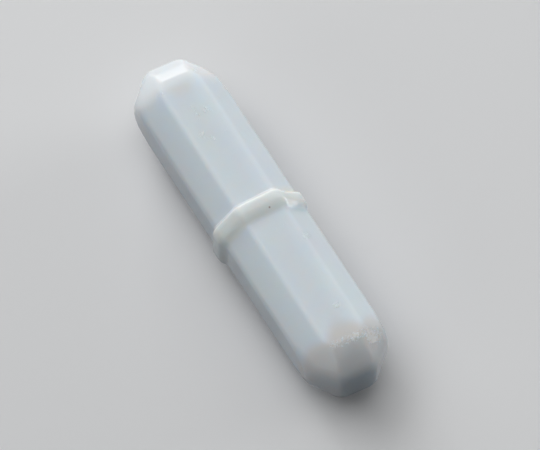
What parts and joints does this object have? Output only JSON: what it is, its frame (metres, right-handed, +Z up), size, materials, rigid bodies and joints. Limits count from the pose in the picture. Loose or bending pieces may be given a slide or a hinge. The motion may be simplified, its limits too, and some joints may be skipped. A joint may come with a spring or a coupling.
{
  "type": "magnetic stirring bar",
  "caption": "Octagonal magnetic stirring bar: a bar magnet sealed in a white fluoropolymer jacket with tapered ends and a pivot ring round its middle to spin on.",
  "frame": {"origin": "middle of the pivot ring's lower flat, the point the bar spins on, at the floor of the vessel", "axes": "+X along the bar, +Z up through the pivot ring's middle, +Y across"},
  "size_m": [0.035, 0.0088, 0.0088],
  "materials": {
    "jacket": "waxy satin, milky white, moulded PTFE",
    "magnet": "ground cast alnico, dull grey"
  },
  "bodies": {
    "root": {"jacket": "jacket", "magnet": "magnet"}
  },
  "joints": []
}
